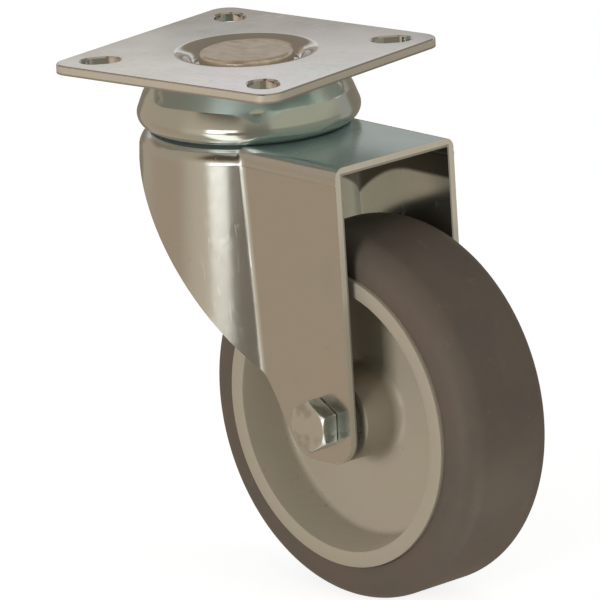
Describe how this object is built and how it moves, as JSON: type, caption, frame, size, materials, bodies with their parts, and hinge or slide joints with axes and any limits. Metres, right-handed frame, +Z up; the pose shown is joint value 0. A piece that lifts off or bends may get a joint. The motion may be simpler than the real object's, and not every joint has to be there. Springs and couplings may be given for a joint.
{
  "type": "swivel castor",
  "caption": "Swivel castor: square zinc-plated top plate with slotted holes, double ball-race head, pressed fork and a grey rubber-tyred wheel on ball bearings.",
  "frame": {"origin": "middle of the top plate's upper face, on the swivel axis", "axes": "+Z up, out of the mounting face; X and Y along the plate's edges; the wheel trails along +X, turned 9.1 degrees towards -Y"},
  "size_m": [0.1071, 0.06, 0.1119],
  "materials": {
    "plate_zinc": "bright blue-passivated zinc",
    "fork_zinc": "bright blue-passivated zinc",
    "race_zinc": "bright blue-passivated zinc",
    "pin_steel": "peened zinc-plated steel",
    "bolt_zinc": "bright zinc",
    "tube_steel": "turned steel",
    "ball_steel": "ground and polished bearing steel",
    "nut_nylon": "natural nylon",
    "core_plastic": "satin moulded polypropylene, warm grey",
    "tyre_rubber": "smooth satin grey thermoplastic rubber"
  },
  "bodies": {
    "root": {"top_plate": "plate_zinc", "kingpin": "pin_steel", "upper_race": "race_zinc", "lower_race": "race_zinc", "upper_balls": "ball_steel", "lower_balls": "ball_steel"},
    "fork": {"fork": "fork_zinc", "axle_bolt": "bolt_zinc", "axle_nut": "bolt_zinc", "nut_insert": "nut_nylon", "distance_tube": "tube_steel", "axle_spacers": "tube_steel", "inner_ring_bolt_side": "ball_steel", "inner_ring_nut_side": "ball_steel"},
    "wheel": {"wheel_core": "core_plastic", "tyre": "tyre_rubber", "outer_ring_bolt_side": "ball_steel", "outer_ring_nut_side": "ball_steel", "bearing_balls_bolt_side": "ball_steel", "bearing_balls_nut_side": "ball_steel", "bearing_cage_bolt_side": "nut_nylon", "bearing_cage_nut_side": "nut_nylon", "bearing_shields_bolt_side": "tube_steel", "bearing_shields_nut_side": "tube_steel"}
  },
  "joints": [
    {"name": "swivel", "type": "hinge", "parent": "root", "child": "fork", "pos_m": [0, 0, 0], "axis": [0, 0, 1], "continuous": true},
    {"name": "wheel_spin", "type": "hinge", "parent": "fork", "child": "wheel", "pos_m": [0.03644, -0.00584, -0.0719], "axis": [0.1582, 0.9874, 0], "continuous": true}
  ]
}
